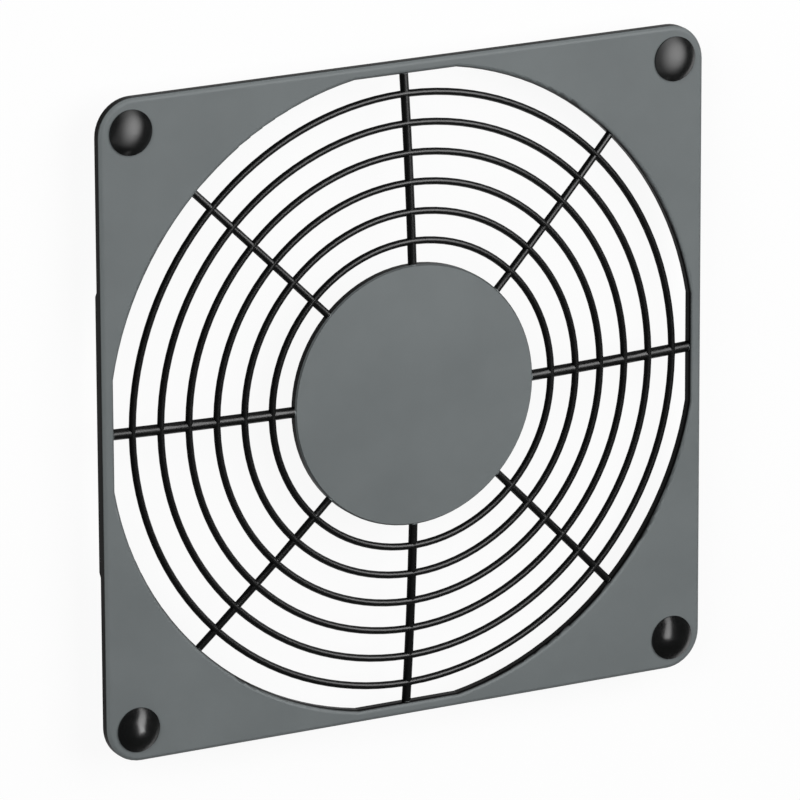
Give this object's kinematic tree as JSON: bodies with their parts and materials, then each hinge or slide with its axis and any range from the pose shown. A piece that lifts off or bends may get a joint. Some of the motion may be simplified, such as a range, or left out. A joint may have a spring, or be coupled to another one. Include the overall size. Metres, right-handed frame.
{
  "type": "fan finger guard",
  "caption": "Square moulded finger guard for an axial fan, with a domed grille of round-topped rings and spokes round a closed disc, held on by dome-headed push rivets in its corners.",
  "frame": {"origin": "middle of the rivet pattern, on the seat plane at the back that lies against the fan", "axes": "+Z along the fan axis, out of the guard's front; X and Y along the sides of the plate, with the seat rails on the two sides across X"},
  "size_m": [0.1164, 0.1164, 0.0114],
  "materials": {
    "guard_plastic": "dark grey moulded plastic with fine grained faces and smooth black ribs",
    "rivet_plastic": "smooth glossy black plastic"
  },
  "bodies": {
    "root": {"guard": "guard_plastic", "push_rivets": "rivet_plastic"}
  },
  "joints": []
}
